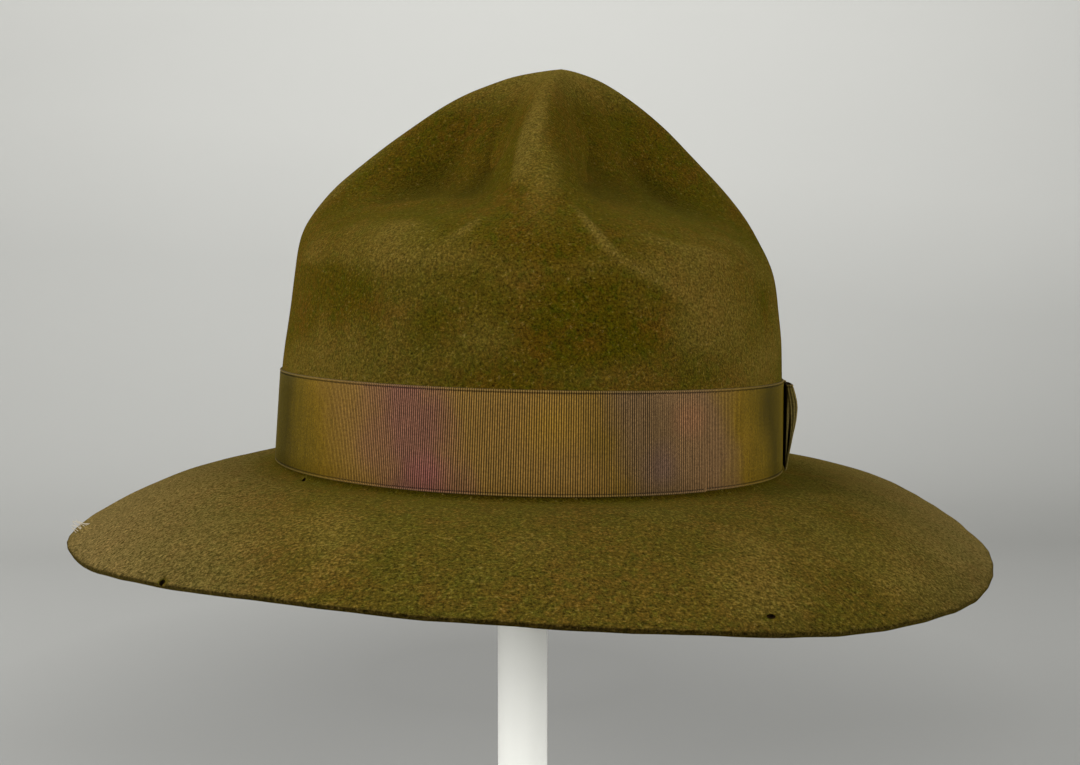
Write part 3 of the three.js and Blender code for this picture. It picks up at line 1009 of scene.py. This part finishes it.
def bow_place(share, height, face, out):
    reach, deep = on_loop(BOW_LOOP, share)
    level_up = height / BOW_BREADTH
    inset = 0 if face else BOW_THICKNESS
    gap = BOW_SEAT + (np.interp(level_up, END_HEIGHTS, END_GAPS) * MM - BOW_SEAT) * reach**2
    opening = BOW_PINCH + (1 - BOW_PINCH) * reach**2
    half_lift = np.interp(level_up, END_HEIGHTS, END_LIFTS) * MM * opening / 2
    lie = gap + BOW_THICKNESS + half_lift
    thick = half_lift + BOW_THICKNESS - inset + out
    across = 2 * level_up - 1
    folds = FOLD_DEPTH * math.cos(FOLD_COUNT * math.pi * across) * math.exp(-abs(reach) * FOLD_FADE)
    squeeze = 1 - SQUEEZE * math.exp(-((reach / SQUEEZE_BREADTH) ** 2))
    up = BOW_MIDDLE + across * BOW_BREADTH / 2 * squeeze
    along = (BOW_HALF_LENGTH - inset + out) * reach
    return HAT_PLACE @ over_band(along, up, lie + thick * deep + folds * max(0, deep))


bow = lay_ribbon("bow", BOW_LENGTH, BOW_BREADTH, 11, bow_place)
BOW_ZONES = [
    (0, OLIVE),
    (20, BROWN),
    (42, DARK_OLIVE),
    (66, OLIVE),
    (92, OLIVE),
    (97, GREY_OLIVE),
    (101, GREY_OLIVE),
    (108, OLIVE),
    (120, BROWN),
    (132, OLIVE),
]
look = {"start": 0, "wander": 6, "painted_groove_shade": 0.35}
bow.data.materials.append(ribbon_finish("bow_grosgrain", BOW_ZONES, BOW_LENGTH, **look))
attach(bow, "root")
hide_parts("bow_loops")

# %% [markdown]
# The knot is no real knot, but a short ribbon wrapped once round the bow's middle. It runs up and down, so
# its ribs lie level. Its path is a flat oval with nearly square corners, drawn in a little at mid height. It
# starts at its lower end, where its join is hidden.

# %% The bow's knot
KNOT_WIDTH = 13 * MM
KNOT_ROOM = 1.15 * MM
KNOT_DEPTH = 2 * (KNOT_THICKNESS + BAND_GAP + BOW_THICKNESS) + KNOT_ROOM
KNOT_HALF_HEIGHT = BOW_BREADTH / 2 * (1 - SQUEEZE / 2) + KNOT_THICKNESS
KNOT_LENGTH = 4 * KNOT_HALF_HEIGHT + 2 * KNOT_DEPTH
KNOT_BLUNTNESS = 0.25
KNOT_WAIST = 0.1
KNOT_BELLY = 0.25 * MM


def knot_corner(turn):
    """The unit path of the knot: across its depth and up its height."""
    return blunt(math.sin(turn), KNOT_BLUNTNESS), blunt(math.cos(turn), KNOT_BLUNTNESS)


KNOT_LOOP = loop_table(knot_corner, math.pi, KNOT_DEPTH / 2, KNOT_HALF_HEIGHT)


def knot_place(share, height, face, out):
    deep, up = on_loop(KNOT_LOOP, share)
    inset = (0 if face else KNOT_THICKNESS) - out
    across = 2 * height / KNOT_WIDTH - 1
    waist = 1 - KNOT_WAIST * (1 - up**2)
    belly = KNOT_BELLY * (1 - across**2) * (1 - up**2) * max(0, deep)
    lie = KNOT_DEPTH / 2 + (KNOT_DEPTH / 2 - inset) * deep + belly
    height_up = BOW_MIDDLE + (KNOT_HALF_HEIGHT - inset) * up
    return HAT_PLACE @ over_band(across * KNOT_WIDTH / 2 * waist, height_up, lie)


knot = lay_ribbon("knot", KNOT_LENGTH, KNOT_WIDTH, 4, knot_place)
KNOT_ZONES = [(0, DARK_OLIVE), (16, OLIVE), (32, BROWN), (48, OLIVE), (64, DARK_OLIVE)]
look = {"start": 0, "wander": 8, "painted_groove_shade": 0.3}
knot.data.materials.append(ribbon_finish("knot_grosgrain", KNOT_ZONES, KNOT_LENGTH, **look))
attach(knot, "root")
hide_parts("bow_knot")

# %% [markdown]
# The stand is turned plastic: a foot, a tube and a domed cap. A turned piece is half a section, spun round
# the post's axis. A Bevel modifier then rounds its corners.

# %% Turning a piece
BEVEL_FROM = math.radians(25)
SMOOTH_UP_TO = 40


def turned(name, section, steps, rounding):
    """Spins a section of (radius, height) pairs in millimetres round the Z axis and rounds its corners."""
    bpy.ops.mesh.primitive_plane_add(size=1)
    piece = edit_new(name)
    bpy.ops.mesh.merge(type="CENTER")
    radius, height = section[0]
    bpy.ops.transform.translate(value=(radius * MM, 0, height * MM))
    for (start_radius, start_height), (end_radius, end_height) in zip(section, section[1:]):
        step = ((end_radius - start_radius) * MM, 0, (end_height - start_height) * MM)
        bpy.ops.mesh.extrude_region_move(TRANSFORM_OT_translate={"value": step})
    bpy.ops.mesh.select_all(action="SELECT")
    bpy.ops.mesh.spin(steps=steps, angle=2 * math.pi, center=(0, 0, 0), axis=(0, 0, 1))
    bpy.ops.mesh.select_all(action="SELECT")
    bpy.ops.mesh.remove_doubles(threshold=MERGE_DISTANCE)
    bpy.ops.mesh.normals_make_consistent(inside=False)
    leave_edit()
    settings = {"width": rounding * MM, "segments": 3, "limit_method": "ANGLE", "angle_limit": BEVEL_FROM}
    use_modifier(piece, "BEVEL", **settings)
    smooth(piece, SMOOTH_UP_TO)
    return piece


# %% [markdown]
# The sections repeat the solids' sizes in millimetres. The plastic is white and satin, with faint clouds in
# its colour, soft scuffs in its gloss and the finest grain in its bump. The foot gets a greyer copy of the
# same white: painted shade that keeps its brightly lit top from washing out.

# %% The stand
POST_RADIUS = 8.75
SOCKET_RADIUS = 9.05
SOCKET_DEPTH = 14
BASE_SECTION = [
    (0, 0),
    (88, 0),
    (90, 2),
    (90, 8),
    (86, 11),
    (78, 12),
    (20, 14),
    (16, 18),
    (15, 24),
    (SOCKET_RADIUS, 24),
    (SOCKET_RADIUS, 10),
    (0, 10),
]
CAP_RADIUS = 38
CAP_DOME_RADIUS = 62
CAP_RIM = 7
CAP_RIM_WIDTH = 2
CAP_HUB_RADIUS = 14
CAP_HUB_FILLET = 4
CAP_HUB_DEPTH = 16
GRAIN_HEIGHT = 0.02 * MM


def white_finish(name, white):
    finish = Finish(name, Specular_IOR_Level=0.4)
    place = own_place(finish)
    pale = white + 6
    drift = clouds(finish, place, 14, 2)
    finish.feed("Base Color", blend(finish, drift, shade(white, white, white - 6), shade(pale, pale, pale - 5)))
    scuffs = clouds(finish, place, 160, 3, 0.6)
    finish.feed("Roughness", level(finish, scuffs, 0.3, 0.7, 0.42, 0.58))
    finish.feed("Normal", bump(finish, clouds(finish, place, 700, 2), GRAIN_HEIGHT, 0.6))
    return finish.material


def stand_part(name, node, section, steps, rounding, finish):
    piece = turned(name, section, steps, rounding)
    piece.data.materials.append(finish)
    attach(piece, "root")
    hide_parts(node)
    print(name, len(piece.data.polygons), "faces")


def dome(radius):
    return CAP_DOME_RADIUS - math.sqrt(CAP_DOME_RADIUS**2 - radius**2)


stand_white = white_finish("stand_white", 233)
# Painted shade: the foot's white is the same plastic made greyer.
shaded_foot_white = white_finish("shaded_foot_white", 200)
cap_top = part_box("stand_cap")[1][2] / MM
post_low, post_high = (corner[2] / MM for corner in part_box("stand_post"))
cap_section = [(radius, cap_top - dome(radius)) for radius in np.linspace(0, CAP_RADIUS, 9)]
cap_rim = cap_section[-1][1] - CAP_RIM
hub_low = cap_rim - CAP_HUB_DEPTH
cap_section += [
    (CAP_RADIUS - CAP_RIM_WIDTH, cap_rim),
    (CAP_HUB_RADIUS + CAP_HUB_FILLET, cap_rim),
    (CAP_HUB_RADIUS, cap_rim - CAP_HUB_FILLET),
    (CAP_HUB_RADIUS, hub_low),
    (SOCKET_RADIUS, hub_low),
    (SOCKET_RADIUS, hub_low + SOCKET_DEPTH),
    (0, hub_low + SOCKET_DEPTH),
]
post_section = [(0, post_low), (POST_RADIUS, post_low), (POST_RADIUS, post_high), (0, post_high)]
stand_part("foot", "stand_base", BASE_SECTION, 96, 0.8, shaded_foot_white)
stand_part("post", "stand_post", post_section, 64, 0.5, stand_white)
stand_part("cap", "stand_cap", cap_section, 72, 0.6, stand_white)

# %% [markdown]
# The studio is a wide pale bowl: a floor that curves up into a wall all round, so that no line shows behind
# the hat from any side. It starts as a filled circle and is extruded ring by ring.

# %% The studio's bowl
FLOOR_RADIUS = 1.15
WALL_RADIUS = 2.0
WALL_HEIGHT = 2.6
SWEEP_STEPS = 16

bpy.ops.mesh.primitive_circle_add(vertices=96, radius=FLOOR_RADIUS, fill_type="NGON")
studio = edit_new("studio")
bpy.ops.mesh.normals_make_consistent(inside=False)
radius, height = FLOOR_RADIUS, 0.0
sweep = WALL_RADIUS - FLOOR_RADIUS
places = [math.pi / 2 * step / SWEEP_STEPS for step in range(1, SWEEP_STEPS + 1)]
rings = [(FLOOR_RADIUS + sweep * math.sin(turn), sweep * (1 - math.cos(turn))) for turn in places]
rings.append((WALL_RADIUS, WALL_HEIGHT))
for next_radius, next_height in rings:
    bpy.ops.mesh.extrude_region_move(TRANSFORM_OT_translate={"value": (0, 0, next_height - height)})
    growth = next_radius / radius
    bpy.ops.transform.resize(value=(growth, growth, 1), center_override=(0, 0, 0))
    radius, height = next_radius, next_height
bpy.ops.mesh.delete(type="ONLY_FACE")
bpy.ops.mesh.select_all(action="SELECT")
bpy.ops.mesh.normals_make_consistent(inside=True)
leave_edit()
smooth(studio)
print("studio", len(studio.data.polygons), "faces")

# %% [markdown]
# The bowl's grey grows paler with the distance from the hat's foot. On the floor behind the post it has a soft
# shadow, as in the photograph. Greys are told by their distance in metres.

# %% The studio's grey
STUDIO_GREYS = [(0, 141), (0.6, 151), (1.15, 156), (1.5, 158), (1.75, 161), (1.93, 171), (2.1, 174)]
STUDIO_REACH = 2.6
STUDIO_DRIFT = 0.03
SHADOW_PLACE = (0.02, 0.36, 0)
SHADOW_FROM, SHADOW_TO = 0.08, 0.3
SHADOW_TONE = 0.73


def studio_finish():
    finish = Finish("studio_grey", Roughness=0.95, Specular_IOR_Level=0.1)
    place = own_place(finish)
    across = split(finish, place)[0]
    uneven = (clouds(finish, place, 3, 2) - 0.5) * STUDIO_DRIFT + across * STUDIO_DRIFT
    stops = [(far / STUDIO_REACH, shade(grey, grey, grey * 0.98)) for far, grey in STUDIO_GREYS]
    grey = ramp(finish, distance(finish, place) * (1 / STUDIO_REACH) + uneven, *stops)
    shadow = level(finish, distance(finish, place, SHADOW_PLACE), SHADOW_FROM, SHADOW_TO, SHADOW_TONE, 1.0)
    finish.feed("Base Color", toned(finish, grey, shadow))
    return finish.material


studio.data.materials.append(studio_finish())

# %% [markdown]
# Soft light comes from large square lamps: a strong one on the left in front, weaker ones on the right, one
# behind and above, and one that lights only the wall. Their powers were weighed against each other by
# rendering the hat under each lamp alone. Each is aimed by turning its face along the line between it and its
# aim, and is hidden from the camera. The air around adds a faint even light.

# %% The lights
HAT_AIM = (0, 0, 0.22)
WALL_AIM = (0, 2, 1.1)
LAMPS = [
    {"name": "left_front", "place": (-1.1, -0.63, 0.68), "aim": HAT_AIM, "size": 0.8, "watts": 25},
    {"name": "right_front", "place": (1.1, -0.63, 0.68), "aim": HAT_AIM, "size": 0.8, "watts": 17.4},
    {"name": "right_low", "place": (0.66, -1.14, 0.5), "aim": HAT_AIM, "size": 0.8, "watts": 6.2},
    {"name": "back", "place": (-0.61, 0.61, 1.25), "aim": HAT_AIM, "size": 0.8, "watts": 13.2},
    {"name": "wall", "place": (0, 0.9, 1.2), "aim": WALL_AIM, "size": 1.2, "watts": 18},
]
AIR_COLOUR = (1, 1, 1, 1)
AIR_STRENGTH = 0.01

for lamp in LAMPS:
    light = bpy.data.lights.new(lamp["name"], "AREA")
    light.size = lamp["size"]
    light.energy = lamp["watts"]
    holder = bpy.data.objects.new(lamp["name"], light)
    bpy.context.collection.objects.link(holder)
    holder.location = lamp["place"]
    holder.rotation_euler = (Vector(lamp["aim"]) - holder.location).to_track_quat("-Z", "Y").to_euler()
    holder.visible_camera = False

world = bpy.data.worlds.new("studio_air")
world.use_nodes = True
air = world.node_tree.nodes["Background"]
air.inputs["Color"].default_value = AIR_COLOUR
air.inputs["Strength"].default_value = AIR_STRENGTH
bpy.context.scene.world = world
print("lamps", len(LAMPS))

# %% [markdown]
# Blender's usual view bends colours the way film does. The plain view shows every colour as it was picked,
# which suits an object whose colours are to be compared with a photograph.

# %% The view
bpy.context.scene.view_settings.view_transform = "Standard"
